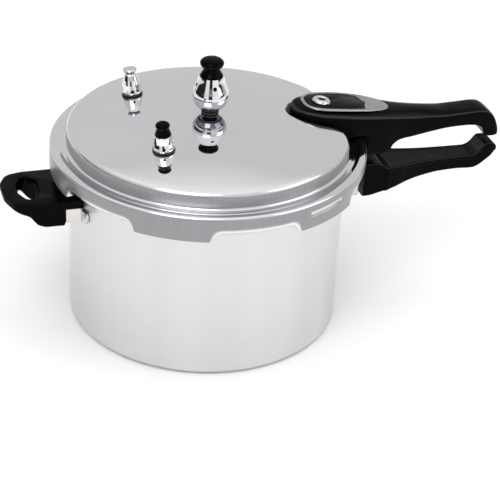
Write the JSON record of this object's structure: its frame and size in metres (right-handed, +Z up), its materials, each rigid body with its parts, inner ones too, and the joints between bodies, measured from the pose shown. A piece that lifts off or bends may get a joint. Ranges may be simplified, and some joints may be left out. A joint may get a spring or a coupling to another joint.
{
  "type": "pressure canner",
  "caption": "Aluminium pressure canner with a domed bayonet lid, long two-part handle, helper handle, weighted regulator, safety valves and a rack.",
  "frame": {"origin": "centre of the pot's flat base, on the surface it stands on", "axes": "+Z up along the pot's axis, +X from the pot's axis along the two long handles, which lie over each other"},
  "size_m": [0.4228, 0.2558, 0.2259],
  "materials": {
    "bakelite_black": "moulded phenolic, satin gloss black",
    "aluminium_satin": "spun and satin-brushed aluminium",
    "aluminium_polished": "polished aluminium",
    "chrome": "bright chrome plate",
    "steel_plated": "bright zinc-plated steel",
    "badge_silver": "satin silver trim",
    "badge_black": "gloss black panel",
    "silicone_white": "translucent white silicone",
    "rubber_black": "matte black rubber"
  },
  "bodies": {
    "pot": {"pot_body": "aluminium_satin", "lower_handle_bracket": "steel_plated", "lower_handle": "bakelite_black", "lower_handle_screw": "steel_plated", "helper_handle_bracket": "chrome", "helper_handle": "bakelite_black", "helper_handle_screw": "steel_plated"},
    "gasket": {"lid_gasket": "silicone_white"},
    "lid": {"lid_shell": "aluminium_polished", "upper_handle": "bakelite_black", "upper_handle_screw_1": "steel_plated", "upper_handle_screw_2": "steel_plated", "badge_frame": "badge_silver", "badge_panel": "badge_black", "indicator_bush": "chrome", "vent_pipe": "steel_plated", "vent_nut": "steel_plated", "vent_strainer": "steel_plated", "safety_valve_body": "chrome", "safety_valve_washer": "rubber_black", "safety_valve_nut": "steel_plated", "safety_valve_spring": "steel_plated", "relief_valve_body": "chrome", "relief_valve_washer": "rubber_black", "relief_valve_nut": "steel_plated", "relief_valve_spring": "steel_plated"},
    "weight": {"weight_body": "chrome", "weight_knob": "bakelite_black"},
    "safety_pull": {"safety_valve_stem": "steel_plated", "safety_valve_pull": "bakelite_black"},
    "relief_pull": {"relief_valve_stem": "steel_plated", "relief_valve_pull": "chrome"},
    "indicator": {"float_pin": "chrome", "float_pin_seal": "silicone_white"},
    "rack": {"canning_rack": "aluminium_satin"}
  },
  "joints": [
    {"name": "lid_lift", "type": "slide", "parent": "pot", "child": "gasket", "axis": [0, 0, 1], "range_m": [0, 0.12]},
    {"name": "lid_turn", "type": "hinge", "parent": "gasket", "child": "lid", "pos_m": [0, 0, 0], "axis": [0, 0, 1], "range_deg": [0, 30]},
    {"name": "weight_lift", "type": "slide", "parent": "lid", "child": "weight", "axis": [0, 0, 1], "range_m": [0, 0.03]},
    {"name": "safety_valve_lift", "type": "slide", "parent": "lid", "child": "safety_pull", "axis": [-0.0913, -0.0853, 0.9922], "range_m": [0, 0.003], "stiffness_N_per_m": 400, "springref_m": -0.004, "deforming": ["safety_valve_spring"]},
    {"name": "relief_valve_lift", "type": "slide", "parent": "lid", "child": "relief_pull", "axis": [-0.0917, 0.1001, 0.9907], "range_m": [0, 0.0025], "stiffness_N_per_m": 400, "springref_m": -0.004, "deforming": ["relief_valve_spring"]},
    {"name": "indicator_rise", "type": "slide", "parent": "lid", "child": "indicator", "axis": [0, 0, 1], "range_m": [0, 0.0035]},
    {"name": "rack_lift", "type": "slide", "parent": "pot", "child": "rack", "axis": [0, 0, 1], "range_m": [0, 0.11]}
  ]
}
